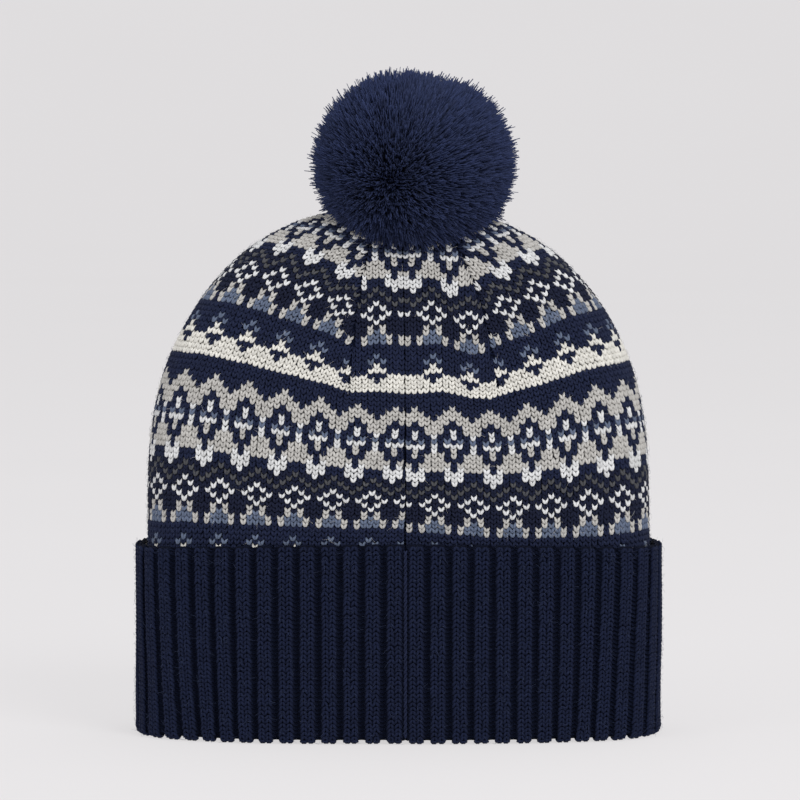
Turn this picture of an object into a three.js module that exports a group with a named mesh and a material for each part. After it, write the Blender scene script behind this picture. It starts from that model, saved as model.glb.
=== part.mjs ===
// A knitted bobble hat: a patterned body and crown, a ribbed band turned up once into a cuff,
// and a yarn pom-pom tied on at the top of the crown.
// Millimetres, +Z up. The hat stands on the fold of its cuff with its back seam facing -Y,
// as if lightly stuffed, so every section across it is a flattened oval.

import * as THREE from 'three';

// Cuff and ribbed band
const cuffWidth = 240;            // across the cuff, outside to outside
const cuffDepth = 104;            // front to back of the stuffed cuff
const cuffHeight = 88;            // turned-up height
const cuffThickness = 4.8;        // plump 2x2 rib
const layerGap = 0.6;             // between the cuff and the rib layer behind it
const ribThickness = 3.2;         // rib layer behind the cuff, held flatter
const cuffCover = 6;              // how far the cuff reaches over the patterned body

// Body and crown
const bodyThickness = 3.2;        // two-colour knit with its floats
const hatHeight = 240.5;          // floor to the gathered top of the crown
const crownStart = 105;           // height where the outline begins to close
const crownPower = 2.3;           // roundness of the crown's outline, 2 is an ellipse
const crownDepthPower = 0.85;     // how fast the crown closes front to back
const sectionPower = 2.8;         // roundness of the sections, 2 is an ellipse
const crownHoleRadius = 4.5;      // eye left by the drawn-up stitches

// Seams
const seamX = 3;                  // the back seam sits a little right of centre
const seamWidth = 3.4;            // seam ridge across
const seamDepth = 2;              // seam ridge proud of the inside
const seamSlit = 3;               // where the two ends of the cuff meet
const pieceGap = 0.35;            // between pieces that touch

// Pom-pom and its tie
const pompomDiameter = 88;        // combed-out pile
const pompomCentreRise = 20;      // pile centre above the tie's pivot
const pompomTilt = 28;            // degrees that the tie lets the pom-pom loll each way
const tiltMargin = 3;             // degrees of pile kept clear beyond that
const waistRadius = 5;            // pile pinched by its binding
const waistHeight = 7;
const bindingYarn = 1.3;          // half the width of the wound binding
const shankRadius = 2;            // twisted tie yarns between crown and pile
const shankHeight = 5;
const gatherRadius = 8;           // yarn ring that closes the crown
const gatherYarn = 1.1;           // half the width of that yarn
const knotRadius = 5;             // knot inside the crown

// Facets
const sectionSteps = 72;
const crownSteps = 14;
const roundSteps = 28;
const yarnSides = 8;
const tipSteps = 6;                // round end of the tie
const knotSteps = 10;
const pileSteps = 12;

// Everything below follows from the sizes above.
const cuffHalf = { x: cuffWidth / 2, y: cuffDepth / 2 };
const ribHalf = {
  x: cuffHalf.x - cuffThickness - layerGap,
  y: cuffHalf.y - cuffThickness - layerGap,
};
const ribHeight = cuffHeight - cuffCover;
const bodyBottom = ribHeight + pieceGap;
const pivotHeight = hatHeight + pieceGap + shankRadius;

const navyYarn = new THREE.Color(0x1b2442);
const pileYarn = new THREE.Color(0x1c2a52);

function knit(color) {
  return new THREE.MeshStandardMaterial({ color, roughness: 0.95, metalness: 0 });
}

// A point of a flattened oval section with half widths x and y.
function sectionPoint(half, angle) {
  const power = 2 / sectionPower;
  const c = Math.cos(angle);
  const s = Math.sin(angle);
  return new THREE.Vector2(
    half.x * Math.sign(c) * Math.abs(c) ** power,
    half.y * Math.sign(s) * Math.abs(s) ** power,
  );
}

// The angle, on the -Y side, where the section is at a given x.
function angleAtX(half, x) {
  const c = Math.sign(x) * Math.abs(x / half.x) ** (sectionPower / 2);
  return 2 * Math.PI - Math.acos(c);
}

function inset(half, distance) {
  return { x: half.x - distance, y: half.y - distance };
}

// A ring wall standing on the floor, closed all round.
function ringWall(half, thickness, height) {
  const outer = [];
  const inner = [];
  for (let i = 0; i < sectionSteps; i += 1) {
    const angle = (i / sectionSteps) * 2 * Math.PI;
    outer.push(sectionPoint(half, angle));
    inner.push(sectionPoint(inset(half, thickness), angle));
  }
  const shape = new THREE.Shape(outer);
  shape.holes.push(new THREE.Path(inner));
  return new THREE.ExtrudeGeometry(shape, { depth: height, bevelEnabled: false });
}

// The same wall, open where its two ends meet at the back seam.
function slitRingWall(half, thickness, height, slit) {
  const outline = [];
  const walls = [half, inset(half, thickness)];
  walls.forEach((wall, side) => {
    const start = angleAtX(wall, seamX + slit / 2);
    const end = angleAtX(wall, seamX - slit / 2) + 2 * Math.PI;
    for (let i = 0; i <= sectionSteps; i += 1) {
      const share = side === 0 ? i / sectionSteps : 1 - i / sectionSteps;
      outline.push(sectionPoint(wall, start + share * (end - start)));
    }
  });
  return new THREE.ExtrudeGeometry(new THREE.Shape(outline), { depth: height, bevelEnabled: false });
}

// Outline of the body and crown from its open bottom to the eye at the top, moved inwards by an inset.
function bodyOutline(distance) {
  const half = inset(ribHalf, distance);
  const rise = hatHeight - crownStart - distance;
  const eyeShare = (crownHoleRadius / half.x) ** (crownPower / 2);
  const lastTurn = Math.acos(eyeShare);
  const outline = [{ x: half.x, y: half.y, z: bodyBottom }];
  for (let i = 0; i <= crownSteps; i += 1) {
    const turn = (i / crownSteps) * lastTurn;
    const width = Math.cos(turn) ** (2 / crownPower);
    const lift = Math.sin(turn) ** (2 / crownPower);
    outline.push({
      x: half.x * width,
      y: half.y * width ** crownDepthPower,
      z: crownStart + rise * lift,
    });
  }
  return outline;
}

// A lathe whose rings are flattened ovals instead of circles.
function ovalLathe(outline) {
  const points = outline.map((ring) => new THREE.Vector2(ring.x, ring.z));
  const geometry = new THREE.LatheGeometry(points, sectionSteps);
  const position = geometry.attributes.position;
  for (let i = 0; i <= sectionSteps; i += 1) {
    const angle = ((i % sectionSteps) / sectionSteps) * 2 * Math.PI;
    outline.forEach((ring, j) => {
      const point = sectionPoint(ring, angle);
      position.setXYZ(i * outline.length + j, point.x, point.y, ring.z);
    });
  }
  return geometry;
}

// A round piece turned about +Z from (radius, height) pairs.
function turned(pairs) {
  const points = pairs.map(([radius, height]) => new THREE.Vector2(radius, height));
  return new THREE.LatheGeometry(points, roundSteps).rotateX(Math.PI / 2);
}

// A yarn ring about +Z.
function yarnRing(radius, yarn) {
  return new THREE.TorusGeometry(radius, yarn, yarnSides, roundSteps);
}

// Points of an arc in the (radius, height) plane, angles in degrees from the +radius direction.
function arc(centreHeight, radius, from, to, steps) {
  const pairs = [];
  for (let i = 0; i <= steps; i += 1) {
    const angle = THREE.MathUtils.degToRad(from + (i / steps) * (to - from));
    pairs.push([Math.max(0, radius * Math.cos(angle)), centreHeight + radius * Math.sin(angle)]);
  }
  return pairs;
}

const group = new THREE.Group();

function addPiece(name, geometry, color, x = 0, y = 0, z = 0) {
  const mesh = new THREE.Mesh(geometry, knit(color));
  mesh.name = name;
  mesh.position.set(x, y, z);
  group.add(mesh);
  return mesh;
}

// Patterned body with its crown: one wall, open below, with a small eye at the top.
function makeBody() {
  const outer = bodyOutline(0);
  const inner = bodyOutline(bodyThickness).reverse();
  const outline = [...outer, ...inner, outer[0]];
  addPiece('fair_isle_body', ovalLathe(outline), navyYarn);
}

// Rib layer that the cuff hides, and the cuff itself.
function makeRibs() {
  addPiece('rib_inner_layer', ringWall(ribHalf, ribThickness, ribHeight), navyYarn);
  const cuff = slitRingWall(cuffHalf, cuffThickness, cuffHeight, seamSlit);
  addPiece('cuff_outer_layer', cuff, navyYarn);
}

// Back seam: a ridge inside the rib and the body, and the joining yarn in the cuff's slit.
function makeSeams() {
  const cuffSeam = new THREE.BoxGeometry(seamSlit - 2 * pieceGap, cuffThickness - 2 * pieceGap, cuffHeight);
  addPiece('cuff_seam', cuffSeam, navyYarn, seamX, -cuffHalf.y + cuffThickness / 2, cuffHeight / 2);

  const ribInside = ribHalf.y - ribThickness;
  const ribSeam = new THREE.BoxGeometry(seamWidth, seamDepth, ribHeight);
  const ribSeamY = -(ribInside - pieceGap - seamDepth / 2);
  addPiece('rib_seam', ribSeam, navyYarn, seamX, ribSeamY, ribHeight / 2);

  const run = bodyOutline(bodyThickness + pieceGap + seamDepth / 2);
  const last = run.findLastIndex((ring) => ring.y > 2 * knotRadius);
  const points = run.slice(0, last + 1).map((ring) => {
    const angle = angleAtX(ring, seamX);
    return new THREE.Vector3(seamX, sectionPoint(ring, angle).y, ring.z);
  });
  const section = new THREE.Shape([
    new THREE.Vector2(-seamWidth / 2, -seamDepth / 2),
    new THREE.Vector2(seamWidth / 2, -seamDepth / 2),
    new THREE.Vector2(seamWidth / 2, seamDepth / 2),
    new THREE.Vector2(-seamWidth / 2, seamDepth / 2),
  ]);
  const path = new THREE.CatmullRomCurve3(points);
  const bodySeam = new THREE.ExtrudeGeometry(section, {
    steps: 3 * crownSteps,
    bevelEnabled: false,
    extrudePath: path,
  });
  addPiece('body_seam', bodySeam, navyYarn);
}

// Yarn that draws the crown shut, and the knot that holds the pom-pom's tie inside it.
function makeCrownTies() {
  const gatherHeight = hatHeight + pieceGap + gatherYarn;
  addPiece('crown_gather_yarn', yarnRing(gatherRadius, gatherYarn), navyYarn, 0, 0, gatherHeight);

  const knotTop = hatHeight - bodyThickness - 2 * pieceGap;
  const knotCentre = knotTop - knotRadius;
  const neckAngle = THREE.MathUtils.radToDeg(Math.acos(shankRadius / knotRadius));
  const pairs = [
    ...arc(knotCentre, knotRadius, -90, neckAngle, knotSteps),
    [shankRadius, hatHeight - pieceGap],
    [0, hatHeight - pieceGap],
  ];
  addPiece('anchor_knot', turned(pairs), navyYarn);
}

// Pom-pom: tie yarns, the binding round the waist of the pile, and the pile.
// The pile's underside is a cone about the pivot, so it clears the crown however it lolls.
function makePompom() {
  const shankTop = pivotHeight + shankHeight;
  const shank = [
    ...arc(pivotHeight, shankRadius, -90, 0, tipSteps),
    [shankRadius, shankTop],
    [0, shankTop],
  ];
  addPiece('pompom_shank', turned(shank), navyYarn);

  const waistBottom = shankTop + pieceGap;
  const waistTop = waistBottom + waistHeight;
  const bindingRadius = waistRadius + pieceGap + bindingYarn;
  const bindingHeight = waistBottom + bindingYarn + pieceGap;
  addPiece('pompom_binding', yarnRing(bindingRadius, bindingYarn), navyYarn, 0, 0, bindingHeight);

  const radius = pompomDiameter / 2;
  const slope = THREE.MathUtils.degToRad(pompomTilt + tiltMargin);
  const fromPivot = pompomCentreRise * Math.sin(slope);
  const reach = fromPivot + Math.sqrt(radius ** 2 - pompomCentreRise ** 2 + fromPivot ** 2);
  const edge = [reach * Math.cos(slope), pivotHeight + reach * Math.sin(slope)];
  const centre = pivotHeight + pompomCentreRise;
  const edgeAngle = THREE.MathUtils.radToDeg(Math.atan2(edge[1] - centre, edge[0]));
  const pile = [
    [0, waistBottom],
    [waistRadius, waistBottom],
    [waistRadius, waistTop],
    [bindingRadius + bindingYarn, waistTop],
    ...arc(centre, radius, edgeAngle, 90, pileSteps),
  ];
  addPiece('pompom_pile', turned(pile), pileYarn);
}

makeBody();
makeRibs();
makeSeams();
makeCrownTies();
makePompom();

export default group;
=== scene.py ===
import math

import bmesh
import bpy
import numpy as np
from mathutils import Matrix, Vector
from mathutils.kdtree import KDTree


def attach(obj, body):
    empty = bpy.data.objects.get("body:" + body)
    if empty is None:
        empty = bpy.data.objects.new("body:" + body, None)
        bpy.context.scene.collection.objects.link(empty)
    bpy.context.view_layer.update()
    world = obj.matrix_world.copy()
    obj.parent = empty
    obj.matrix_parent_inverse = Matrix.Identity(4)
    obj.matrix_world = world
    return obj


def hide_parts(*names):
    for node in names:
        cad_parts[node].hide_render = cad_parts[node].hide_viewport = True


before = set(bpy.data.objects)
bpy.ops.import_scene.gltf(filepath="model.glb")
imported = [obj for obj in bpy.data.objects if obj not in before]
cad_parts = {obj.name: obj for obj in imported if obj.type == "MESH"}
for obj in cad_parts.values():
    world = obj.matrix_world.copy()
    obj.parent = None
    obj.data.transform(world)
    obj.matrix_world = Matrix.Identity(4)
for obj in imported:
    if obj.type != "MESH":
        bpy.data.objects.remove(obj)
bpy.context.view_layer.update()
scene = bpy.context.scene
rng = np.random.default_rng(7)


# camera: long lens, a little above the hat, lengths in metres
cameraSet = {"lens": 250, "distance": 2.537, "elevation": 4.0, "aim": (0.0006, 0, 0.1518)}

cameraData = bpy.data.cameras.new("camera")
cameraData.lens = cameraSet["lens"]
camera = bpy.data.objects.new("camera", cameraData)
scene.collection.objects.link(camera)
tilt = math.radians(cameraSet["elevation"])
backwards = Vector((0, -math.cos(tilt), math.sin(tilt)))
camera.location = Vector(cameraSet["aim"]) + backwards * cameraSet["distance"]
camera.rotation_euler = (-backwards).to_track_quat("-Z", "Y").to_euler()
scene.camera = camera
scene.view_settings.view_transform = "Standard"


def linear(hexText):
    parts = [int(hexText[i:i + 2], 16) / 255 for i in (0, 2, 4)]
    return [p / 12.92 if p <= 0.04045 else ((p + 0.055) / 1.055) ** 2.4 for p in parts] + [1.0]


def addNode(tree, kind, settings=None, links=None):
    node = tree.nodes.new(kind)
    for name, value in (settings or {}).items():
        if name in node.inputs:
            node.inputs[name].default_value = value
        else:
            setattr(node, name, value)
    for name, source in (links or {}).items():
        tree.links.new(source, node.inputs[name])
    return node


def newMaterial(name):
    material = bpy.data.materials.new(name)
    material.use_nodes = True
    material.node_tree.nodes.clear()
    return material, material.node_tree


def mixColour(tree, factor, first, second):
    # a plain colour stands on the socket, a socket is linked
    node = addNode(tree, "ShaderNodeMix", {"data_type": "RGBA"})
    tree.links.new(factor, node.inputs[0])
    for place, colour in ((6, first), (7, second)):
        if isinstance(colour, str):
            node.inputs[place].default_value = linear(colour)
        else:
            tree.links.new(colour, node.inputs[place])
    return node.outputs[2]


def woolMaterial(name, settings):
    # matt wool: uneven dye, a tone per stitch read from an attribute that on the pom-pom's strands also holds
    # painted shade, lighter fuzz on some stitches, fine fibres as bump
    material, tree = newMaterial(name)
    place = addNode(tree, "ShaderNodeTexCoord").outputs["Object"]
    dye = addNode(
        tree, "ShaderNodeTexNoise", {"Scale": 1000 / settings["dyePatch"], "Detail": 3}, {"Vector": place},
    )
    fibre = addNode(
        tree, "ShaderNodeTexNoise",
        {"Scale": 1000 / settings["fibre"], "Detail": 4, "Roughness": 0.7}, {"Vector": place},
    )
    tone = addNode(tree, "ShaderNodeAttribute", {"attribute_name": "yarnToneAndShade"})
    base = mixColour(tree, dye.outputs["Fac"], settings["dark"], settings["light"])
    uneven = settings["unevenness"]
    toneAndShade = addNode(
        tree, "ShaderNodeMapRange",
        {"From Min": 0.0, "From Max": 1.0, "To Min": 1 - uneven, "To Max": 1 + uneven},
        {"Value": tone.outputs["Fac"]},
    )
    toned = addNode(tree, "ShaderNodeHueSaturation", {}, {"Value": toneAndShade.outputs[0], "Color": base})
    fuzzy = addNode(
        tree, "ShaderNodeMapRange",
        {"From Min": 0.5, "From Max": 0.85, "To Min": 0.0, "To Max": settings["fuzz"]},
        {"Value": fibre.outputs["Fac"]},
    )
    colour = mixColour(tree, fuzzy.outputs[0], toned.outputs["Color"], settings["fuzzColour"])
    bump = addNode(
        tree, "ShaderNodeBump", {"Strength": settings["bump"], "Distance": 0.0003},
        {"Height": fibre.outputs["Fac"]},
    )
    shader = addNode(
        tree, "ShaderNodeBsdfPrincipled",
        {
            "Roughness": 0.92,
            "Specular IOR Level": settings["gloss"],
            "Sheen Weight": settings["sheen"],
            "Sheen Roughness": 0.5,
            "Sheen Tint": linear(settings["fuzzColour"]),
        },
        {"Base Color": colour, "Normal": bump.outputs["Normal"]},
    )
    addNode(tree, "ShaderNodeOutputMaterial", {}, {"Surface": shader.outputs[0]})
    return material


def yarnColour(name, dark, light, fuzzColour, **changes):
    settings = {
        "dark": dark, "light": light, "fuzzColour": fuzzColour,
        "dyePatch": 5.0, "fibre": 0.5, "unevenness": 0.1, "fuzz": 0.25, "bump": 0.5, "sheen": 0.15,
        "gloss": 0.25,
    }
    settings.update(changes)
    return woolMaterial(name, settings)


# lambswool, dyed navy, and the near-black strand behind the snowflakes
navyWool = yarnColour("navyWool", "141A30", "1B223C", "404860", fuzz=0.45, gloss=0.15)
inkWool = yarnColour("inkWool", "111527", "171C31", "383E52", fuzz=0.45, gloss=0.15)
stoneWool = yarnColour("stoneWool", "A8A6A2", "BEBCB8", "D0CFCC", sheen=0.05)  # undyed grey wool
creamWool = yarnColour("creamWool", "CDCBC4", "DFDDD6", "EBEAE6", sheen=0.05)  # undyed cream wool
whiteWool = yarnColour("whiteWool", "C6C7C7", "D8D9DA", "E8E9EA", sheen=0.05)  # bleached wool
denimWool = yarnColour("denimWool", "4C576C", "646F85", "858EA0")  # faded blue wool
charcoalWool = yarnColour("charcoalWool", "3C3D40", "505154", "6A6B6E")  # charcoal wool
# the same navy, knitted tight
ribWool = yarnColour("ribWool", "10162B", "171E36", "30384F", fuzz=0.35, sheen=0.1, gloss=0.12)
# the pile's wide tone spread is mostly painted shade along each strand, darker at the root and lighter at the
# end
pileWool = yarnColour(
    "pileWool", "181F38", "242D4C", "4C5878", dyePatch=9.0, unevenness=0.85, fuzz=0.4, sheen=0.3,
)  # cut navy yarn ends
darkFuzzWool = yarnColour("darkFuzzWool", "2C3550", "3D4763", "525C78", sheen=0.3)  # stray fibres of the navy
paleFuzzWool = yarnColour("paleFuzzWool", "B9B7B2", "CFCDC9", "DDDCD9", sheen=0.1)  # and of the pale wools
print("wools mixed")


def newObject(name, mesh, material, body, stands=()):
    mesh.materials.clear()
    mesh.materials.append(material)
    piece = bpy.data.objects.new(name, mesh)
    scene.collection.objects.link(piece)
    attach(piece, body)
    if stands:
        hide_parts(*stands)
    return piece


def templateFrom(bm):
    # a small shape as numbers, ready to be laid many times
    bmesh.ops.recalc_face_normals(bm, faces=bm.faces[:])
    bm.verts.index_update()
    template = {
        "points": np.array([v.co[:] for v in bm.verts]),
        "faces": [[v.index for v in f.verts] for f in bm.faces],
    }
    bm.free()
    return template


def copiesMesh(name, points, template, tonesAndShade):
    # points holds one row of template points for each copy, in millimetres
    copies, count = points.shape[:2]
    corners = np.concatenate([np.array(f) for f in template["faces"]])
    sizes = np.array([len(f) for f in template["faces"]])
    allCorners = (corners[None] + count * np.arange(copies)[:, None]).ravel()
    ends = np.cumsum(np.tile(sizes, copies))
    mesh = bpy.data.meshes.new(name)
    mesh.vertices.add(copies * count)
    mesh.vertices.foreach_set("co", (points * 0.001).astype(np.float32).ravel())
    mesh.loops.add(len(allCorners))
    mesh.loops.foreach_set("vertex_index", allCorners.astype(np.int32))
    mesh.polygons.add(len(ends))
    mesh.polygons.foreach_set("loop_start", np.concatenate([[0], ends[:-1]]).astype(np.int32))
    mesh.polygons.foreach_set("use_smooth", np.ones(len(ends), bool))
    mesh.update(calc_edges=True)
    # a random tone per copy; on the pom-pom's strands it also holds painted shade, darker towards each root
    tone = mesh.attributes.new("yarnToneAndShade", "FLOAT", "POINT")
    spreadTonesAndShade = np.broadcast_to(tonesAndShade.reshape(copies, -1), (copies, count))
    tone.data.foreach_set("value", spreadTonesAndShade.astype(np.float32).ravel())
    mesh.validate()
    return mesh


def laid(template, places):
    # places: centre, across, up and out vectors for each copy
    shape = template["points"]
    return (
        places["centre"][:, None]
        + places["across"][:, None] * shape[None, :, 0:1]
        + places["up"][:, None] * shape[None, :, 1:2]
        + places["out"][:, None] * shape[None, :, 2:3]
    )


def unit(vectors):
    return vectors / np.maximum(np.linalg.norm(vectors, axis=-1, keepdims=True), 1e-9)


def stitchTemplate(settings):
    # one knit stitch: two almond legs that part towards the top
    bm = bmesh.new()
    for side in (-1, 1):
        lean = Matrix((
            (settings["legWidth"], 0, side * settings["part"], side * settings["legCentre"]),
            (0, 0, settings["legReach"], 0),
            (0, -settings["legDepth"], -settings["tuck"], 0),
            (0, 0, 0, 1),
        ))
        bmesh.ops.create_uvsphere(bm, u_segments=5, v_segments=settings["rings"], radius=1, matrix=lean)
    return templateFrom(bm)


def wrappedGrid(across, up, place, thickness=0):
    # a flat grid wrapped to shape by place(u, v), closed where its edges meet, then given its wall
    bm = bmesh.new()
    bmesh.ops.create_grid(bm, x_segments=across, y_segments=up, size=0.5)
    flat = np.array([v.co[:2] for v in bm.verts]) + 0.5
    uvLayer = bm.loops.layers.uv.new("knitWay")
    for face in bm.faces:
        for loop in face.loops:
            loop[uvLayer].uv = (loop.vert.co.x + 0.5, loop.vert.co.y + 0.5)
    for vert, point in zip(bm.verts, place(flat[:, 0], flat[:, 1]) * 0.001):
        vert.co = point
    bmesh.ops.remove_doubles(bm, verts=bm.verts[:], dist=0.00002)
    bmesh.ops.recalc_face_normals(bm, faces=bm.faces[:])
    if thickness:
        bmesh.ops.solidify(bm, geom=bm.faces[:], thickness=thickness * 0.001)
        bmesh.ops.recalc_face_normals(bm, faces=bm.faces[:])
    for face in bm.faces:
        face.smooth = True
    return bm


def meshFrom(name, bm):
    mesh = bpy.data.meshes.new(name)
    if bm.calc_volume(signed=True) < 0:
        bmesh.ops.reverse_faces(bm, faces=bm.faces[:])
    bm.to_mesh(mesh)
    bm.free()
    return mesh


sectionPower = 2.8  # roundness of the hat's section, 2 is an ellipse

def sectionXY(angle):
    # rounded-oval section of the hat, one unit each way
    across = np.sign(np.cos(angle)) * np.abs(np.cos(angle)) ** (2 / sectionPower)
    deep = np.sign(np.sin(angle)) * np.abs(np.sin(angle)) ** (2 / sectionPower)
    return across, deep


def evenAngles(halfWidth, halfDepth, seamX, count):
    # angles at equal steps along the section's edge, starting at the seam
    start = -math.acos((seamX / halfWidth) ** (sectionPower / 2))
    fine = start + np.linspace(0, 2 * math.pi, 40001)
    across, deep = sectionXY(fine)
    steps = np.hypot(np.diff(across * halfWidth), np.diff(deep * halfDepth))
    arc = np.concatenate([[0], np.cumsum(steps)])
    return np.interp(np.linspace(0, arc[-1], count + 1), arc, fine), arc[-1]


def strandTemplate():
    # a thin three-sided taper, its height is the way along the strand
    bm = bmesh.new()
    bmesh.ops.create_cone(bm, cap_ends=False, segments=3, radius1=1, radius2=0.45, depth=1)
    bmesh.ops.translate(bm, verts=bm.verts[:], vec=(0, 0, 0.5))
    upright = [e for e in bm.edges if abs(e.verts[0].co.z - e.verts[1].co.z) > 0.5]
    bmesh.ops.subdivide_edges(bm, edges=upright, cuts=1)
    bmesh.ops.holes_fill(bm, edges=bm.edges[:], sides=3)
    return templateFrom(bm)


def strandPoints(template, root, bend, tip, width):
    # each copy follows its own bent line
    shape = template["points"]
    along = shape[None, :, 2:3]
    back = 1 - along
    line = root[:, None] * back ** 2 + 2 * bend[:, None] * along * back + tip[:, None] * along ** 2
    way = unit(tip - root)
    side = unit(np.cross(way, np.array([0.31, 0.2, 0.93])))
    other = np.cross(way, side)
    ring = side[:, None] * shape[None, :, 0:1] + other[:, None] * shape[None, :, 1:2]
    return line + ring * width[:, None, None]


strand = strandTemplate()


# stranded knit: body and crown
bodySet = {
    "halfWidth": 114.6,
    "halfDepth": 46.6,
    "bottom": 82.35,
    "crownStart": 105,
    "height": 240.5,
    "crownPower": 2.3,
    "depthPower": 0.85,
    "wall": 3.2,
    "seamX": 3,
    "seamDepth": 1.0,
    "seamSpread": 1.3,
    "dartDepth": 0.8,
    "dartSpread": 2.0,
    "patternBase": 98,  # height of the first snowflake row's foot
    "rows": 80,  # from there to the crown's middle
    "firstRow": -8,
    "topRow": 78,
    "narrowest": 0.45,  # a stitch narrower than this share of its column is left out
    "overRib": 1.4,  # the lowest stitches start this far above the rib
    "sunk": 0.5,  # stitches are set this deep into the surface
    "groundDepth": 1.1,
    "groundFoot": 6.4,  # rows that the ground reaches below the pattern
    "groundGrid": (210, 66),
    "columns": 189,
    "dartWidths": (0.415, 1.0, 0.30, -0.30, -1.0, -0.19),  # the decreases, as share of the half width
    "dartsFromRow": 28,
    "wave": 0.45,
    "looseness": 0.05,
    "lean": 1.15,  # the seam swallows this many more columns on its left as it goes up
    "leanRows": 24,
    "leanReach": 45,
}

# how the rows ride on the seam side: share of the half width, millimetres low down, millimetres above
leftRide = (
    (-1.0, 3.2, 3.0), (-0.85, 3.8, 6.0), (-0.65, 3.4, 7.4),
    (-0.45, 2.6, 6.3), (-0.19, 1.5, 3.9), (0.03, 1.4, 2.6),
)
rightRide = (
    (0.03, -0.2, 2.4), (0.17, -0.8, 2.2), (0.38, -2.6, -4.2),
    (0.6, -2.9, -3.4), (0.8, -2.4, -1.6), (1.0, -0.6, -2.0),
)
rideRows = {"upperAt": 28, "fadeFrom": 52, "fadeOver": 28}

# one repeat from the top down, six stitches wide, starting at a snowflake's centre
# n navy, i ink, g stone grey, k cream, w white, b denim blue, c charcoal
chart = (
    "nnngnn", "nngggn", "nggggg", "gggngg", "ggnnng", "ggnwng", "wnnwnn", "bnbnbn", "wnwwwn", "wnngnn",
    "ggngng", "ggnnng", "gggngg", "ggwnwg", "nnwwwn", "nnwwwn", "ciiwii", "iciiic", "iicici", "wiicii",
    "iwiiiw", "iiwiwi", "iwiiiw", "wiiiii", "igiiig", "bgiiig", "bbgngb", "bbgngb", "nnnnnn", "nnnnnn",
    "bnnnnn", "nbnnnb", "knnnnn", "kknnnk", "nnkkkn", "nkkkkk", "kkkkkk", "kkkkkk", "nnnnnn", "nnnnnn",
    "nnnnnn",
)
chartFoot = 26  # the chart's line for the row at the pattern's base

# the middle rows sag: how much of it at each row, and millimetres by share of the half width
sagByRow = ((0, 0.0), (10, 0.7), (25, 1.0), (32, 1.0), (46, 0.45), (60, 0.0))
sagAcross = ((-1.0, 2.4), (-0.6, 4.3), (0.1, 3.7), (0.35, 1.7), (0.8, 1.4), (1.0, 2.4))

# rows dip at two decreases: place, millimetres, spread
dips = ((-0.2, 3.2, 0.07), (0.33, 3.4, 0.1))
dipRows = {"from": 26, "growOver": 8, "until": 66, "fadeOver": 14}

angleCount = 1512
bodyAngles, bodyRound = evenAngles(bodySet["halfWidth"], bodySet["halfDepth"], bodySet["seamX"], angleCount)
tableRows = np.arange(bodySet["firstRow"], bodySet["rows"] + 0.25, 0.5)

def tableLine(row):
    # the tables hold two lines for each row
    return (row - bodySet["firstRow"]) * 2


def crownProfile(angle):
    # one line from the straight wall to the crown's middle
    turn = np.linspace(0, math.pi / 2, 260)
    width = np.cos(turn) ** (2 / bodySet["crownPower"])
    rise = np.sin(turn) ** (2 / bodySet["crownPower"])
    across, deep = sectionXY(angle)
    return np.stack([
        bodySet["halfWidth"] * width * across,
        bodySet["halfDepth"] * width ** bodySet["depthPower"] * deep,
        bodySet["crownStart"] + (bodySet["height"] - bodySet["crownStart"]) * rise,
    ], axis=1)


def rowRide(place):
    # the knitting hangs a little unevenly, so rows don't run level
    across, deep = sectionXY(bodyAngles[place])
    if deep < 0:
        line = np.array(rightRide if place < len(bodyAngles) / 2 else leftRide)
        low = np.interp(across, line[:, 0], line[:, 1])
        high = np.interp(across, line[:, 0], line[:, 2])
    else:
        low = np.interp(across, (-1, 1), (leftRide[0][1], rightRide[-1][1]))
        high = np.interp(across, (-1, 1), (leftRide[0][2], rightRide[-1][2]))
    risen = np.clip(tableRows / rideRows["upperAt"], 0, 1)
    fading = 1 - np.clip((tableRows - rideRows["fadeFrom"]) / rideRows["fadeOver"], 0, 1)
    sag = np.interp(across, *zip(*sagAcross)) if deep < 0 else sagAcross[0][1]
    ride = (low * (1 - risen) + high * risen) * fading - sag * np.interp(tableRows, *zip(*sagByRow))
    if deep < 0:
        growing = np.clip((tableRows - dipRows["from"]) / dipRows["growOver"], 0, 1)
        closing = np.clip((dipRows["until"] - tableRows) / dipRows["fadeOver"], 0, 1)
        for share, depth, spreadShare in dips:
            ride -= depth * math.exp(-((across - share) / spreadShare) ** 2) * growing * closing
    return ride


def makeBodyTable():
    # where each half row crosses each angle
    table = np.zeros((len(tableRows), len(bodyAngles), 3))
    straight = bodySet["crownStart"] - bodySet["patternBase"]
    for place, angle in enumerate(bodyAngles):
        line = crownProfile(angle)
        arc = np.concatenate([[0], np.cumsum(np.linalg.norm(np.diff(line, axis=0), axis=1))])
        reach = tableRows * (arc[-1] + straight) / bodySet["rows"] - straight + rowRide(place)
        for axis in range(3):
            table[:, place, axis] = np.interp(reach, arc, line[:, axis])
        table[:, place, 2] += np.minimum(reach, 0)
    return table


def arcsOf(table):
    steps = np.linalg.norm(np.diff(table, axis=1), axis=2)
    return np.concatenate([np.zeros((len(table), 1)), np.cumsum(steps, axis=1)], axis=1)


def normalsOf(table):
    around = np.gradient(table, axis=1)
    upward = np.gradient(table, axis=0)
    return unit(np.cross(around, upward))


def dartColumns():
    # decreases sit between two columns
    columns = []
    for share, deepSide in zip(bodySet["dartWidths"], (-1, 0, 1, 1, 0, -1)):
        across, deep = sectionXY(bodyAngles)
        wrongSide = (np.sign(deep) != deepSide) * 9 if deepSide else 0
        nearest = np.argmin(np.abs(across - share) + wrongSide)
        columns.append(int(round(nearest / angleCount * bodySet["columns"])))
    return columns


darts = dartColumns()
bodyTable = makeBodyTable()
bodyNormals = normalsOf(bodyTable)
bodyArcs = arcsOf(bodyTable)
shareRound = np.linspace(0, 1, angleCount + 1)


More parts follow.
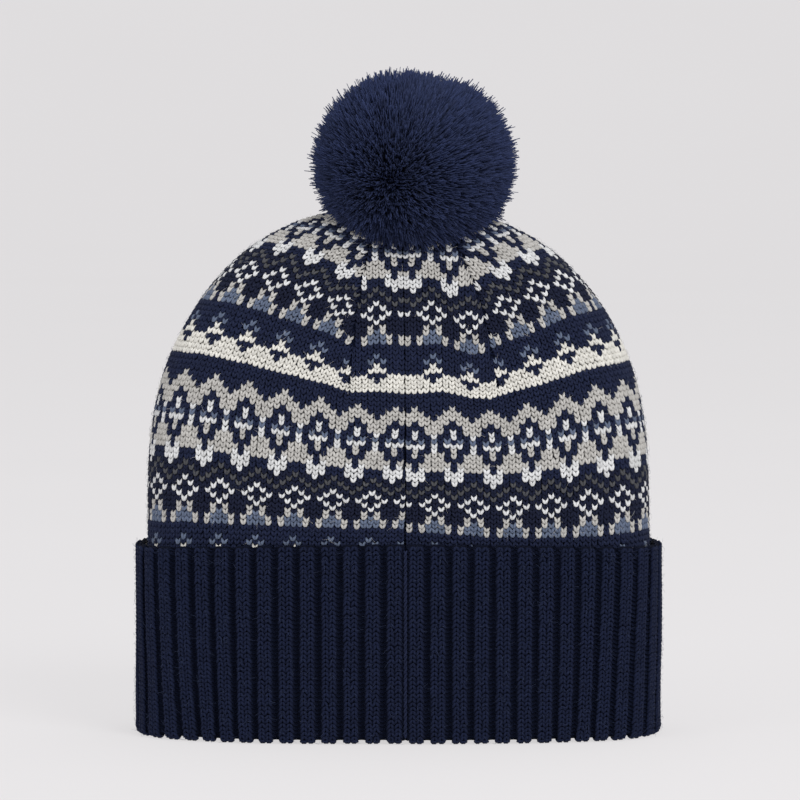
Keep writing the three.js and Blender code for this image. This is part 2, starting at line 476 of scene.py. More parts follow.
def shapeBody():
    # seam and decreases pull in, and the cloth is a little uneven
    relief = np.zeros(bodyArcs.shape)
    fromSeam = np.minimum(bodyArcs, bodyArcs[:, -1:] - bodyArcs)
    relief -= bodySet["seamDepth"] * np.exp(-(fromSeam / bodySet["seamSpread"]) ** 2 / 2)
    started = np.clip((tableRows - bodySet["dartsFromRow"]) / 8, 0, 1)[:, None]
    for column in darts:
        line = bodyArcs[:, int(round(column / bodySet["columns"] * angleCount))][:, None]
        fold = np.exp(-((bodyArcs - line) / bodySet["dartSpread"]) ** 2 / 2)
        relief -= started * bodySet["dartDepth"] * fold
    turn = 2 * math.pi * shareRound[None]
    rows = tableRows[:, None]
    relief += bodySet["wave"] * np.sin(3 * turn + rows / 9) * np.sin(5 * turn - rows / 14 + 1)
    relief += bodySet["wave"] * 0.6 * np.sin(11 * turn + 1.3 * np.sin(rows / 11)) * np.sin(rows / 8)
    relief *= np.clip((bodySet["rows"] - tableRows) / 12, 0, 1)[:, None]
    return bodyTable + bodyNormals * relief[:, :, None]


bodyTable = shapeBody()
bodyArcs = arcsOf(bodyTable)
bodyNormals = normalsOf(bodyTable)
print("body round", round(bodyRound, 1), "mm, decreases at columns", darts)


def columnArc(column, row):
    # where a column's middle lies along a row: straight up the wall, then square to its own panel
    arcs = bodyArcs[int(round(tableLine(row)))]
    turning = np.clip((row - bodySet["dartsFromRow"] + 4) / 8, 0, 1)
    edges = [0] + sorted(darts) + [bodySet["columns"]]
    last = min(row, bodySet["dartsFromRow"])
    lastArcs = bodyArcs[int(round(tableLine(last)))]
    steady = np.interp(column / bodySet["columns"], shareRound, arcs)
    steady = steady + np.maximum(column - bodySet["columns"], 0) * arcs[-1] / bodySet["columns"]
    panel = np.clip(np.searchsorted(edges, column, side="right") - 1, 0, len(edges) - 2)
    low = np.array(edges)[panel]
    high = np.array(edges)[panel + 1]

    def arcAt(where, line):
        return np.interp(where / bodySet["columns"], shareRound, line)

    lowArc, highArc = arcAt(low, arcs), arcAt(high, arcs)
    width = (arcAt(high, lastArcs) - arcAt(low, lastArcs)) / (high - low)
    middle = (lowArc + highArc) / 2 + (column - (low + high) / 2) * width
    middle = np.where(panel == 0, lowArc + (column - low) * width, middle)
    middle = np.where(panel == len(edges) - 2, highArc - (high - column) * width, middle)
    arc = steady * (1 - turning) + middle * turning
    fromEdge = np.clip(1 - (bodySet["columns"] - column) / bodySet["leanReach"], 0, 1)
    leaning = bodySet["lean"] * np.clip(1 - (row + 2) / bodySet["leanRows"], 0, 1.2)
    arc = arc - leaning * fromEdge * width
    if row < bodySet["dartsFromRow"] - 4:
        lowArc, highArc = lowArc * 0, highArc * 0 + arcs[-1]
    return arc, lowArc, highArc, width


def onRow(arc, row, source):
    line = int(round(tableLine(row)))
    return np.stack([np.interp(arc, bodyArcs[line], source[line, :, axis]) for axis in range(3)], axis=1)


def knitBody():
    # every stitch of the body with its yarn letter
    kept = {"centre": [], "across": [], "up": [], "out": [], "letter": [], "row": []}
    columns = np.arange(bodySet["columns"] + 2) + 0.5
    inRepeat = (np.arange(len(columns)) + 2) % len(chart[0])
    for number in range(bodySet["firstRow"], bodySet["topRow"]):
        row = number + 0.5
        letters = np.array(list(chart[(chartFoot - number) % len(chart)]))[inRepeat]
        arc, lowArc, highArc, width = columnArc(columns, row)
        left = np.maximum(arc - width / 2, lowArc)
        right = np.minimum(arc + width / 2, highArc)
        fits = right - left > bodySet["narrowest"] * width
        middle = (left + right) / 2
        centre = onRow(middle, row, bodyTable)
        fits &= centre[:, 2] > bodySet["bottom"] + bodySet["overRib"]
        above = onRow(columnArc(columns, row + 0.5)[0] + middle - arc, row + 0.5, bodyTable)
        below = onRow(columnArc(columns, row - 0.5)[0] + middle - arc, row - 0.5, bodyTable)
        sideways = unit(onRow(middle + 0.6, row, bodyTable) - onRow(middle - 0.6, row, bodyTable))
        upward = above - below
        out = unit(np.cross(sideways, upward))
        kept["centre"].append((centre - out * bodySet["sunk"])[fits])
        kept["across"].append((sideways * (right - left)[:, None])[fits])
        kept["up"].append(upward[fits])
        kept["out"].append(out[fits])
        kept["letter"].append(letters[fits])
        kept["row"].append(np.full(fits.sum(), row))
    return {name: np.concatenate(parts) for name, parts in kept.items()}


def loosen(places, amount):
    # no two stitches are quite the same
    count = len(places["centre"])
    shift = rng.normal(0, amount, (count, 2))
    places["centre"] = places["centre"] + places["across"] * shift[:, :1] + places["up"] * shift[:, 1:]
    turn = rng.normal(0, amount, (count, 1))
    across, up = places["across"], places["up"]
    places["across"] = across * (1 + rng.normal(0, amount, (count, 1))) + up * turn
    places["up"] = up * (1 + rng.normal(0, amount, (count, 1))) - across * turn
    return places


bodyStitch = stitchTemplate({
    "legWidth": 0.30, "part": 0.18, "legCentre": 0.25, "legReach": 0.74, "legDepth": 0.95,
    "tuck": 0.5, "rings": 4,
})
bodyYarns = {
    "n": ("navy", navyWool), "i": ("ink", inkWool), "g": ("stone", stoneWool), "k": ("cream", creamWool),
    "w": ("white", whiteWool), "b": ("denim", denimWool), "c": ("charcoal", charcoalWool),
}
bodyBands = (("lower", -10, 10), ("middle", 10, 33), ("upper", 33, 52), ("crown", 52, 90))


def pick(places, chosen):
    return {name: values[chosen] for name, values in places.items()}


fuzzSet = {"length": (1.5, 4.0), "thick": 0.055, "dark": 3200, "pale": 1800}


def layFuzz(name, places, count, material, body):
    # stray fibres that stand off the stitches
    chosen = rng.integers(0, len(places["centre"]), count)
    turn = rng.uniform(0, 2 * math.pi, (count, 1))
    across, up = unit(places["across"][chosen]), unit(places["up"][chosen])
    way = across * np.cos(turn) + up * np.sin(turn)
    out = places["out"][chosen]
    reach = rng.uniform(*fuzzSet["length"], (count, 1))
    aside = places["across"][chosen] * rng.uniform(-0.4, 0.4, (count, 1))
    root = places["centre"][chosen] + out * 0.5 + aside
    bend = root + way * reach * 0.5 + out * rng.uniform(0.6, 2.0, (count, 1))
    tip = root + way * reach + out * rng.uniform(0.2, 1.6, (count, 1))
    points = strandPoints(strand, root, bend, tip, np.full(count, fuzzSet["thick"]))
    return newObject(name, copiesMesh(name, points, strand, rng.random(count)), material, body)


def layBodyStitches():
    stitches = loosen(knitBody(), bodySet["looseness"])
    names = []
    for letter, (yarn, material) in bodyYarns.items():
        bands = bodyBands if letter == "n" else (("all", -10, 90),)
        for band, low, high in bands:
            chosen = (stitches["letter"] == letter) & (stitches["row"] >= low) & (stitches["row"] < high)
            places = pick(stitches, chosen)
            name = yarn + "Stitches" + (band.capitalize() if band != "all" else "")
            mesh = copiesMesh(name, laid(bodyStitch, places), bodyStitch, rng.random(chosen.sum()))
            newObject(name, mesh, material, "hat")
            names.append(name)
            print(name, int(chosen.sum()), "stitches")
    dark = np.isin(stitches["letter"], list("nic"))
    layFuzz("darkFuzz", pick(stitches, dark), fuzzSet["dark"], darkFuzzWool, "hat")
    layFuzz("paleFuzz", pick(stitches, ~dark), fuzzSet["pale"], paleFuzzWool, "hat")
    return names + ["darkFuzz", "paleFuzz"]


bodyNames = layBodyStitches()


def placeBodyGround(across, up):
    # the loops behind the stitches, just under them
    rows = up * (bodySet["topRow"] + bodySet["groundFoot"]) - bodySet["groundFoot"]
    line = tableLine(rows)
    lower = np.clip(np.floor(line).astype(int), 0, len(tableRows) - 2)
    part = (line - lower)[:, None]
    column = across * angleCount
    left = np.clip(np.floor(column).astype(int), 0, angleCount - 1)
    aside = (column - left)[:, None]

    def blendTable(source):
        first = source[lower, left] * (1 - aside) + source[lower, left + 1] * aside
        second = source[lower + 1, left] * (1 - aside) + source[lower + 1, left + 1] * aside
        return first * (1 - part) + second * part

    points = blendTable(bodyTable) - unit(blendTable(bodyNormals)) * bodySet["groundDepth"]
    points[up < 1e-6, 2] = bodySet["bottom"]
    return points


def mathNode(tree, operation, first, second=None, third=None):
    # numbers stand on the sockets, the rest is linked
    node = addNode(tree, "ShaderNodeMath", {"operation": operation})
    for place, value in enumerate((first, second, third)):
        if isinstance(value, (int, float)):
            node.inputs[place].default_value = value
        elif value is not None:
            tree.links.new(value, node.inputs[place])
    return node.outputs[0]


def purlMaterial(name, settings):
    # the back of the knitting: rows of small loops, with painted shade: darker in the hollows between the
    # loops, lighter on their tops
    material, tree = newMaterial(name)
    way = addNode(tree, "ShaderNodeUVMap", {"uv_map": "knitWay"})
    parts = addNode(tree, "ShaderNodeSeparateXYZ", {}, {"Vector": way.outputs["UV"]})
    columns = mathNode(tree, "MULTIPLY", parts.outputs["X"], 2 * math.pi * settings["columns"])
    rows = mathNode(tree, "MULTIPLY", parts.outputs["Y"], 2 * math.pi * settings["rows"])
    bent = mathNode(tree, "MULTIPLY_ADD", mathNode(tree, "SINE", columns), 1.1, rows)
    place = addNode(tree, "ShaderNodeTexCoord").outputs["Object"]
    fibre = addNode(tree, "ShaderNodeTexNoise", {"Scale": 1800, "Detail": 3}, {"Vector": place})
    height = mathNode(tree, "MULTIPLY_ADD", fibre.outputs["Fac"], 0.6, mathNode(tree, "SINE", bent))
    # painted shade: the colour follows the loops' height, dark in the hollows and light on the tops
    lit = addNode(
        tree, "ShaderNodeMapRange", {"From Min": -1.0, "From Max": 1.6, "To Min": 0.0, "To Max": 1.0},
        {"Value": height},
    )
    colour = mixColour(tree, lit.outputs[0], settings["dark"], settings["light"])
    bump = addNode(tree, "ShaderNodeBump", {"Strength": 0.9, "Distance": 0.0008}, {"Height": height})
    shader = addNode(
        tree, "ShaderNodeBsdfPrincipled",
        {"Roughness": 0.95, "Specular IOR Level": 0.1},
        {"Base Color": colour, "Normal": bump.outputs["Normal"]},
    )
    addNode(tree, "ShaderNodeOutputMaterial", {}, {"Surface": shader.outputs[0]})
    return material


# dark is the painted shade in the hollows between the loops, light the yarn on their tops
purlWool = purlMaterial("purlWool", {"columns": 189, "rows": 84, "dark": "0B1020", "light": "171F3A"})
ribGroundWool = purlMaterial(
    "ribGroundWool", {"columns": 240, "rows": 96, "dark": "0F1426", "light": "161D34"},
)

groundWall = bodySet["wall"] - bodySet["groundDepth"]
groundBm = wrappedGrid(*bodySet["groundGrid"], placeBodyGround, groundWall)
bodyGround = newObject(
    "bodyGround", meshFrom("bodyGround", groundBm), purlWool, "hat", ["fair_isle_body"],
)
print("body knitted")


# ribbed band: the layer turned up as the cuff, and the layer behind it
cuffSet = {
    "halfWidth": 120,
    "halfDepth": 52,
    "foot": 0.7,
    "top": 88,
    "wall": 4.6,
    "ribs": 60,
    "grooveDepth": 2.5,
    "ridgeShare": 0.24,  # half the flat of a ridge, as share of the pitch
    "grooveShare": 0.45,
    "ground": 0.9,  # how far the cloth lies under its stitches
    "columnShare": 0.162,
    "stitchShare": 0.335,
    "seamX": 3,
    "crowding": 1.0,  # the two ribs at the seam close up
    "splay": 4.2,  # how far the ribs lean in at the lower corners
    "splaySpread": 34,
    "corners": (0.185, 0.815),  # the two lower corners on the seam side
    "rowPitch": 1.92,
    "looseness": 0.04,
    "sunk": 0.45,
    "uneven": 0.35,
    "edgeRise": 3.4,  # the edge rides up between the two sides
    "downwards": True,  # knitted from the edge down to the fold
    "flat": (0.84, 0.094),  # drawn out until the ribs lie open
    "held": "folded",
    "fuzz": 2500,
    "rings": 4,
    "facets": 10,  # ground faces across a rib
    "facetsUp": 52,
}
ribSet = dict(
    cuffSet, halfWidth=114.2, halfDepth=46.2, foot=2.2, top=82, wall=2.9, grooveDepth=1.9, ground=0.8,
    splay=0.0, uneven=0.0, edgeRise=0.0, downwards=False, rowPitch=2.1,
    flat=(0.84, 0.085), held="stretched", fuzz=0, rings=3, facets=6,
)


def ribTables(settings):
    # the band's outline and its outward direction at even steps round it
    angles, length = evenAngles(settings["halfWidth"], settings["halfDepth"], settings["seamX"], 2880)
    edge = np.stack(sectionXY(angles), axis=1) * [settings["halfWidth"], settings["halfDepth"]]
    along = unit(np.gradient(edge, axis=0))
    along[0] = along[-1] = unit(edge[1] - edge[-2])
    line, arc = wallLine(settings)
    return {
        "share": np.linspace(0, 1, len(angles)), "round": length, "edge": edge,
        "out": np.stack([along[:, 1], -along[:, 0]], axis=1), "line": line, "arc": arc,
    }


def wallLine(settings):
    # section of the wall as one closed line: outside down, round the fold, inside up, over the edge
    half = settings["wall"] / 2
    turn = np.linspace(0, math.pi, 13)
    low, high = settings["foot"] + half, settings["top"] - half
    outside = np.stack([np.zeros(20), np.linspace(high, low, 20)], axis=1)
    fold = np.stack([half - half * np.cos(turn), low - half * np.sin(turn)], axis=1)
    inside = np.stack([np.full(8, 2 * half), np.linspace(low, high, 8)], axis=1)
    over = np.stack([half + half * np.cos(turn), high + half * np.sin(turn)], axis=1)
    line = np.concatenate([outside, fold[1:], inside[1:], over[1:]])
    steps = np.linalg.norm(np.diff(line, axis=0), axis=1)
    return line, np.concatenate([[0], np.cumsum(steps)])


def ribRelief(share, settings, length):
    # how deep the surface lies under the top of its rib
    phase = (share * settings["ribs"]) % 1
    off = np.abs(phase - 0.5)
    ramp = np.clip((off - settings["ridgeShare"]) / (settings["grooveShare"] - settings["ridgeShare"]), 0, 1)
    ramp = ramp * ramp * (3 - 2 * ramp)
    fromSeam = np.minimum(share, 1 - share) * length
    closed = settings["crowding"] * np.exp(-(fromSeam / 3.0) ** 2)
    narrow = np.clip((off - 0.38) / 0.1, 0, 1)
    groove = ramp * (1 - closed) + narrow * narrow * closed
    between = 0.35 * np.exp(-((phase - 0.5) / 0.05) ** 2)
    return settings["grooveDepth"] * groove + between


def onBand(share, along, settings, tables, lift=0.0):
    line, arc = tables["line"], tables["arc"]
    distance = np.interp(along, arc, line[:, 0])
    height = np.interp(along, arc, line[:, 1])
    step = 0.05
    runIn = np.interp(along + step, arc, line[:, 0]) - np.interp(along - step, arc, line[:, 0])
    runUp = np.interp(along + step, arc, line[:, 1]) - np.interp(along - step, arc, line[:, 1])
    size = np.maximum(np.hypot(runIn, runUp), 1e-9)
    outPart, upPart = -runUp / size, -runIn / size
    showing = np.clip(0.25 + 0.75 * outPart, 0, 1)
    depth = ribRelief(share, settings, tables["round"]) * showing
    low = 1 - np.clip(height / settings["top"], 0, 1)
    splay = np.zeros(len(share))
    for side in settings["corners"]:
        away = (share - side) * tables["round"] / settings["splaySpread"]
        splay -= np.sign(0.5 - side) * settings["splay"] * low ** 1.5 * np.exp(-away ** 2)
    where = (share + splay / tables["round"]) % 1
    edge = np.stack([np.interp(where, tables["share"], tables["edge"][:, k]) for k in (0, 1)], axis=1)
    out = unit(np.stack([np.interp(where, tables["share"], tables["out"][:, k]) for k in (0, 1)], axis=1))
    turn = 2 * math.pi * share
    uneven = settings["uneven"] * (np.sin(7 * turn + height / 17) + 0.7 * np.sin(13 * turn - height / 11))
    flat = edge + out * (-distance + outPart * (lift - depth) + uneven * low)[:, None]
    aside = flat[:, 0] / settings["halfWidth"]
    rise = settings["edgeRise"] * (1 - aside ** 2) * (height / settings["top"]) ** 2
    return np.concatenate([flat, (height + rise + upPart * (lift - depth))[:, None]], axis=1)


def knitRibs(settings, tables):
    # two columns of stitches on every rib, round the fold as well
    outside = settings["top"] - settings["foot"] - settings["wall"]
    rows = np.arange(0.6, outside + 0.25 * math.pi * settings["wall"] + 1.2, settings["rowPitch"])
    ribs = np.arange(settings["ribs"])
    sides = (-settings["columnShare"], settings["columnShare"])
    shares = np.concatenate([(ribs + 0.5 + side) / settings["ribs"] for side in sides])
    share, along = [grid.ravel() for grid in np.meshgrid(shares, rows)]
    along = along + rng.normal(0, 0.05, len(along))
    way = 1 if settings["downwards"] else -1

    def at(shift, down):
        return onBand((share + shift) % 1, along + down, settings, tables)

    centre = at(0, 0)
    step = 0.02 / settings["ribs"]
    sideways = unit(at(-way * step, 0) - at(way * step, 0))
    upward = unit(at(0, 0.4 * way) - at(0, -0.4 * way)) * settings["rowPitch"]
    out = unit(np.cross(sideways, upward))
    width = settings["stitchShare"] * tables["round"] / settings["ribs"]
    centre = centre - out * settings["sunk"]
    return {"centre": centre, "across": sideways * width, "up": upward, "out": out}


ribStitchSet = {
    "legWidth": 0.275, "part": 0.17, "legCentre": 0.25, "legReach": 0.74, "legDepth": 0.85, "tuck": 0.42,
}


def makeBand(name, settings, body, stands):
    tables = ribTables(settings)

    def place(across, up):
        return onBand(across, up * tables["arc"][-1], settings, tables, -settings["ground"])

    ground = wrappedGrid(settings["ribs"] * settings["facets"], settings["facetsUp"], place)
    mesh = meshFrom(name + "Ground", ground)
    cloth = newObject(name + "Ground", mesh, ribGroundWool, body, stands)
    ribStitch = stitchTemplate(dict(ribStitchSet, rings=settings["rings"]))
    stitches = loosen(knitRibs(settings, tables), settings["looseness"])
    frontSide = stitches["centre"][:, 1] < 0
    for half, chosen in (("Front", frontSide), ("Back", ~frontSide)):
        loopName = name + "Stitches" + half
        points = laid(ribStitch, pick(stitches, chosen))
        mesh = copiesMesh(loopName, points, ribStitch, rng.random(chosen.sum()))
        newObject(loopName, mesh, ribWool, body)
    if settings["fuzz"]:
        layFuzz(name + "Fuzz", stitches, settings["fuzz"], darkFuzzWool, body)
    print(name, len(frontSide), "stitches")
    return tables


cuffTables = makeBand("cuff", cuffSet, "cuff", ["cuff_outer_layer"])
makeBand("innerRib", ribSet, "hat", ["rib_inner_layer"])


# seams and ties: plied yarn laid as short lobes twisted round a path
def lobeTemplate():
    bm = bmesh.new()
    upright = Matrix.Rotation(math.radians(-90), 4, "X")
    bmesh.ops.create_uvsphere(bm, u_segments=6, v_segments=4, radius=1, matrix=upright)
    return templateFrom(bm)


lobe = lobeTemplate()
tieSet = {"lobe": 1.9, "overlap": 0.85, "plies": 2}


def yarnAlong(name, paths, yarn, square, body, stands):
    # yarn: how far a ply lies from the middle, its half width, the length of one turn
    offset, thick, twist = yarn
    parts = []
    for path in paths:
        arc = np.concatenate([[0], np.cumsum(np.linalg.norm(np.diff(path, axis=0), axis=1))])
        count = max(2, int(round(arc[-1] / tieSet["lobe"])))
        at = (np.arange(count) + 0.5) * arc[-1] / count
        centre = np.stack([np.interp(at, arc, path[:, k]) for k in range(3)], axis=1)
        ahead = np.stack([np.interp(at + 0.3, arc, path[:, k]) for k in range(3)], axis=1)
        behind = np.stack([np.interp(at - 0.3, arc, path[:, k]) for k in range(3)], axis=1)
        way = unit(ahead - behind)
        side = unit(np.cross(way, np.array(square, float)))
        other = np.cross(way, side)
        for ply in range(tieSet["plies"]):
            turn = (2 * math.pi * (at / twist + ply / tieSet["plies"]))[:, None]
            out = side * np.cos(turn) + other * np.sin(turn)
            swirl = other * np.cos(turn) - side * np.sin(turn)
            run = unit(way + swirl * 2 * math.pi * offset / twist)
            parts.append({
                "centre": centre + out * offset,
                "across": np.cross(run, out) * thick,
                "up": run * tieSet["lobe"] * tieSet["overlap"],
                "out": out * thick,
            })
    places = {key: np.concatenate([part[key] for part in parts]) for key in parts[0]}
    mesh = copiesMesh(name, laid(lobe, places), lobe, rng.random(len(places["centre"])))
    return newObject(name, mesh, navyWool, body, stands)


def circlePath(centre, radius, tiltX=0.0, tiltY=0.0, steps=60):
    turn = np.linspace(0, 2 * math.pi, steps + 1)
    flat = np.stack([radius * np.cos(turn), radius * np.sin(turn), np.zeros(len(turn))], axis=1)
    turned = Matrix.Rotation(tiltX, 3, "X") @ Matrix.Rotation(tiltY, 3, "Y")
    return flat @ np.array(turned).T + np.array(centre)


def seamPaths():
    lines = np.arange(5, len(tableRows) - 9)
    inner = bodyTable[lines, 0] - bodyNormals[lines, 0] * (bodySet["wall"] + 1.3)
    inner = inner[inner[:, 2] > bodySet["bottom"] + 1]
    heights = np.linspace(3.5, 80.5, 30)
    across = np.full(30, bodySet["seamX"], float)
    ribLine = np.stack([across, np.full(30, -46.2 + 3.2 + 1.3), heights], axis=1)
    along = np.linspace(1.5, cuffSet["top"] - cuffSet["wall"] - 1, 40)
    cuffLine = onBand(np.full(40, 0.0), along, cuffSet, cuffTables, 1.7)
    return inner, ribLine, cuffLine


bodySeamPath, ribSeamPath, cuffSeamPath = seamPaths()
seamYarn = (0.85, 0.95, 7.0)
yarnAlong("bodySeam", [bodySeamPath], seamYarn, (0, 1, 0.2), "hat", ["body_seam"])
yarnAlong("ribSeam", [ribSeamPath], seamYarn, (0, 1, 0), "hat", ["rib_seam"])
yarnAlong("cuffSeam", [cuffSeamPath], (0.35, 0.55, 5.0), (0, 1, 0), "cuff", ["cuff_seam"])

gatherPath = circlePath((0, 0, 241.95), 8)
yarnAlong("crownGather", [gatherPath], (0.5, 0.58, 6.3), (0, 0, 1), "hat", ["crown_gather_yarn"])

knotMiddle = (0, 0, 231.6)
knotTurns = ((0.2, 0.1), (1.2, 0.3), (0.4, 1.3), (-0.9, 0.5), (1.9, 0.9))  # radians about x and y
knotPaths = [circlePath(knotMiddle, 3.3, tiltX, tiltY) for tiltX, tiltY in knotTurns]
knotPaths.append(np.array([(0.3, 0, 235 + 0.8 * k) for k in range(8)]))
yarnAlong("anchorKnot", knotPaths, (0.6, 0.8, 6.0), (0.2, 0.1, 1), "hat", ["anchor_knot"])

shankPath = np.array([(0, 0, 241.0 + 0.5 * k) for k in range(16)])
yarnAlong("pompomShank", [shankPath], (0.95, 1.0, 8.0), (1, 0, 0), "pompom_tie", ["pompom_shank"])

bindingPaths = [circlePath((0, 0, 249.2 + lift), 6.7) for lift in (0, 1.2)]
yarnAlong("pompomBinding", bindingPaths, (0.4, 0.6, 6.0), (0, 0, 1), "pompom", ["pompom_binding"])
print("seams and ties laid")


# pom-pom
pompomSet = {
    "centre": (7, -10, 259.8),
    "radius": (44.5, 43, 41.4),
    "power": 2.1,
    "tie": (-6.5, -10, 246),  # the yarns spread from here
    "tieDent": (-5.0, 253.0, 5, 6.5),  # across, up, depth, spread
    "topDent": (18, 300, 2.4, 9),
    "parting": ((-5.0, 253.0), (35.0, 247.0), 3.2, 4),  # start, end, depth, spread
    "frontDepth": 20,  # the dents fade in over this depth on the seam side
    "strands": 31500,
    "width": 0.43,
    "tufts": 4200,
    "tuftPull": 0.4,
    "rough": 1.1,
    "curl": 1.5,
    "uneven": (-0.2, 1.5),  # single strands are a little shorter or longer
    "stray": 0.6,
    "hidden": 20,  # strands that end this far inside the crown are left out
    "clear": 1.2,
    "clearUneven": 2.2,  # ends lie at uneven heights over the crown
}

def crownHeight(x, y):
    # how high the crown stands under a point
    low = np.full(len(x), 1e-3)
    high = np.ones(len(x))
    for _ in range(22):
        middle = (low + high) / 2
        reach = (np.abs(x) / (bodySet["halfWidth"] * middle)) ** sectionPower
        reach += (np.abs(y) / (bodySet["halfDepth"] * middle ** bodySet["depthPower"])) ** sectionPower
        inside = reach < 1
        high = np.where(inside, middle, high)
        low = np.where(inside, low, middle)
    width = (low + high) / 2
    rise = (1 - np.clip(width, 0, 1) ** bodySet["crownPower"]) ** (1 / bodySet["crownPower"])
    return bodySet["crownStart"] + (bodySet["height"] - bodySet["crownStart"]) * rise


def clearOfCrown(points, margin):
    # what would sink into the crown is bent out of it
    points = points.copy()
    closing = bodySet["height"] - bodySet["crownStart"]
    for _ in range(3):
        x, y, z = points.T
        sink = crownHeight(x, y) + margin - z
        rise = np.clip((z - margin - bodySet["crownStart"]) / closing, 0, 0.9999)
        width = (1 - rise ** bodySet["crownPower"]) ** (1 / bodySet["crownPower"])
        halfX = bodySet["halfWidth"] * width + margin
        halfY = bodySet["halfDepth"] * width ** bodySet["depthPower"] + margin
        ratio = (np.abs(x) / halfX) ** sectionPower + (np.abs(y) / halfY) ** sectionPower
        ratio = ratio ** (1 / sectionPower)
        flat = np.hypot(x, y)
        aside = np.clip(flat / np.maximum(ratio, 0.05) - flat, 0.01, 200)
        inside = sink > 0
        part = 1 / (aside ** 2 + sink ** 2)
        push = np.where(inside, aside * sink ** 2 * part, 0)
        points[:, 0] += x / np.maximum(flat, 1e-6) * push
        points[:, 1] += y / np.maximum(flat, 1e-6) * push
        points[:, 2] += np.where(inside, sink * aside ** 2 * part, 0)
    return points


def spread(count):
    # evenly spread directions
    step = np.arange(count) + 0.5
    up = 1 - 2 * step / count
    turn = step * math.pi * (1 + 5 ** 0.5)
    flat = np.sqrt(1 - up * up)
    return np.stack([flat * np.cos(turn), flat * np.sin(turn), up], axis=1)


def dentAt(where, dent):
    across, up, depth, size = dent
    return depth * np.exp(-((where[:, 0] - across) ** 2 + (where[:, 2] - up) ** 2) / 2 / size ** 2)

def pileSurface(directions):
    # outer shape of the pile with its partings
    power = pompomSet["power"]
    centre = np.array(pompomSet["centre"])
    radius = np.array(pompomSet["radius"])
    scale = (np.abs(directions / radius) ** power).sum(axis=1) ** (-1 / power)
    points = directions * scale[:, None]
    where = centre + points
    front = np.clip(-points[:, 1] / pompomSet["frontDepth"], 0, 1)
    dent = dentAt(where, pompomSet["tieDent"]) * front
    start, end, depth, size = pompomSet["parting"]
    start = np.array(start)
    run = np.array(end) - start
    share = np.clip(((where[:, [0, 2]] - start) @ run) / (run @ run), 0, 1)
    away = np.linalg.norm(where[:, [0, 2]] - (start + share[:, None] * run), axis=1)
    dent += depth * np.exp(-(away / size) ** 2 / 2) * front * (1 - 0.4 * share)
    dent += dentAt(where, pompomSet["topDent"])
    return centre + points * (1 - dent / np.linalg.norm(points, axis=1))[:, None]

def makePile():
    settings = pompomSet
    tie = np.array(settings["tie"])
    directions = unit(spread(settings["strands"]) + rng.normal(0, 0.012, (settings["strands"], 3)))
    tips = pileSurface(directions)
    tufts = unit(spread(settings["tufts"]) + rng.normal(0, 0.02, (settings["tufts"], 3)))
    tuftTips = pileSurface(tufts)
    tuftTips += unit(tuftTips - tie) * rng.normal(0, settings["rough"], (settings["tufts"], 1))
    tree = KDTree(settings["tufts"])
    for place, direction in enumerate(tufts):
        tree.insert(direction, place)
    tree.balance()
    own = np.array([tree.find(direction)[1] for direction in directions])
    tips = tips + (tuftTips[own] - tips) * settings["tuftPull"]
    tips += unit(tips - tie) * rng.normal(*settings["uneven"], (len(tips), 1))
    tips += rng.normal(0, settings["stray"], tips.shape)
    under = tips[:, 2] < crownHeight(tips[:, 0], tips[:, 1]) - settings["hidden"]
    margin = settings["clear"] + np.abs(rng.normal(0, settings["clearUneven"], len(tips)))
    tips = clearOfCrown(tips, margin)
    root = tie + (tips - tie) * 0.5
    centre = np.array(settings["centre"])
    root = root * 0.6 + (centre + (tips - centre) * 0.62) * 0.4
    bend = (root + tips) / 2 + (tips - centre) * 0.05 + rng.normal(0, settings["curl"], tips.shape)
    bend[:, 2] += 0.8
    root = clearOfCrown(root, 2.5)
    bend = clearOfCrown(bend, 2.0)
    tuftTone = 0.22 * rng.normal(0, 1, settings["tufts"])[own]
    tone = np.clip(0.5 + tuftTone + rng.normal(0, 0.2, len(tips)), 0, 1)
    return root[~under], bend[~under], tips[~under], tone[~under]


root, bend, tips, tone = makePile()
width = pompomSet["width"] * rng.uniform(0.75, 1.25, len(tips))
pilePoints = strandPoints(strand, root, bend, tips, width)
order = np.argsort(tips[:, 2])
for part, chosen in zip(("Low", "Middle", "High"), np.array_split(order, 3)):
    name = "pompomPile" + part
    # painted light and shade: each strand's colour is painted darker towards its root, in the depth of the
    # pile, and lighter at its end, as if the ends catch the light, over a random tone per tuft and strand
    shade = tone[chosen, None] * 0.5 + strand["points"][None, :, 2] ** 4 * 0.6
    mesh = copiesMesh(name, pilePoints[chosen], strand, shade)
    stands = ["pompom_pile"] if part == "Low" else ()
    piece = newObject(name, mesh, pileWool, "pompom", stands)
print("pile", len(tips), "strands")


def pompomCore():
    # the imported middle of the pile, seen only as dark between the strands
    bm = bmesh.new()
    bmesh.ops.create_icosphere(bm, subdivisions=5, radius=1)
    directions = np.array([v.co[:] for v in bm.verts])
    centre = np.array(pompomSet["centre"])
    points = clearOfCrown(centre + (pileSurface(unit(directions)) - centre) * 0.78, 3.5)
    for vert, point in zip(bm.verts, points * 0.001):
        vert.co = point
    for face in bm.faces:
        face.smooth = True
    return bm


coreWool = yarnColour("coreWool", "0D1630", "142044", "22305A", sheen=0.1)  # yarn packed at the tie, coloured darker than the pile's yarn as painted shade of the pile's depth
core = newObject("pompomCore", meshFrom("pompomCore", pompomCore()), coreWool, "pompom")


# pale sweep and soft light
stageSet = {"flat": 4.4, "wall": 7.4, "height": 4.2, "glow": 0.775}


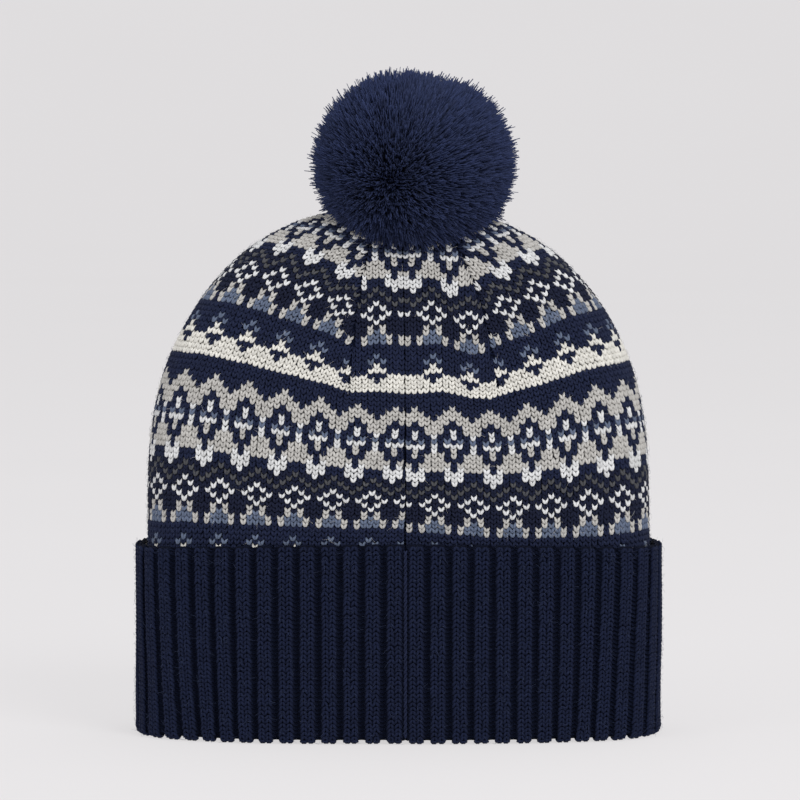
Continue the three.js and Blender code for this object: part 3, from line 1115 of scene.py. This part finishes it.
def makeSweep():
    bm = bmesh.new()
    middle = bm.verts.new((0, 0, 0))
    rim = [middle]
    bend = stageSet["wall"] - stageSet["flat"]
    line = [(stageSet["flat"] * s / 4, 0) for s in range(1, 5)]
    line += [
        (stageSet["flat"] + bend * math.sin(a), bend * (1 - math.cos(a)))
        for a in np.linspace(0, math.pi / 2, 25)[1:]
    ]
    line += [(stageSet["wall"], stageSet["height"])]
    for reach, height in line:
        rim.append(bm.verts.new((reach, 0, height)))
    edges = [bm.edges.new(pair) for pair in zip(rim, rim[1:])]
    bmesh.ops.spin(
        bm, geom=rim + edges, cent=(0, 0, 0), axis=(0, 0, 1), angle=2 * math.pi, steps=96, use_merge=True,
    )
    bmesh.ops.remove_doubles(bm, verts=bm.verts[:], dist=0.0001)
    bmesh.ops.recalc_face_normals(bm, faces=bm.faces[:])
    for face in bm.faces:
        face.smooth = True
        face.normal_flip()
    mesh = bpy.data.meshes.new("sweep")
    bm.to_mesh(mesh)
    bm.free()
    return mesh


def sweepMaterial():
    material, tree = newMaterial("sweepPaper")  # matt studio paper
    place = addNode(tree, "ShaderNodeTexCoord").outputs["Object"]
    grain = addNode(tree, "ShaderNodeTexNoise", {"Scale": 3, "Detail": 2}, {"Vector": place})
    colour = mixColour(tree, grain.outputs["Fac"], "6E6D6E", "737273")
    shader = addNode(
        tree, "ShaderNodeBsdfPrincipled",
        {
            "Roughness": 1.0, "Specular IOR Level": 0.0, "Emission Color": linear("E9E7E8"),
            "Emission Strength": stageSet["glow"],
        },
        {"Base Color": colour},
    )
    addNode(tree, "ShaderNodeOutputMaterial", {}, {"Surface": shader.outputs[0]})
    return material


sweepMesh = makeSweep()
sweepMesh.materials.append(sweepMaterial())
sweep = bpy.data.objects.new("sweep", sweepMesh)
sweep.visible_shadow = False
scene.collection.objects.link(sweep)
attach(sweep, "cuff")  # the floor stays under the lowest edge as the cuff turns down


def addLight(name, place, aim, size, watts):
    lamp = bpy.data.lights.new(name, "AREA")
    lamp.shape = "DISK"
    lamp.size = size
    lamp.energy = watts
    holder = bpy.data.objects.new(name, lamp)
    holder.location = place
    holder.rotation_euler = (Vector(aim) - Vector(place)).to_track_quat("-Z", "Y").to_euler()
    holder.visible_camera = False
    scene.collection.objects.link(holder)


addLight("keyLight", (1.1, -1.7, 1.7), (0, 0, 0.14), 1.3, 34)
addLight("fillLight", (-1.6, -1.5, 0.9), (0, 0, 0.14), 1.6, 12)
addLight("topLight", (0.2, 0.6, 2.2), (0, 0, 0.1), 1.6, 9)

world = bpy.data.worlds.new("studio")
world.use_nodes = True
background = world.node_tree.nodes["Background"]
background.inputs["Color"].default_value = linear("F4F4F6")
background.inputs["Strength"].default_value = 0.62
scene.world = world
print("stage lit")
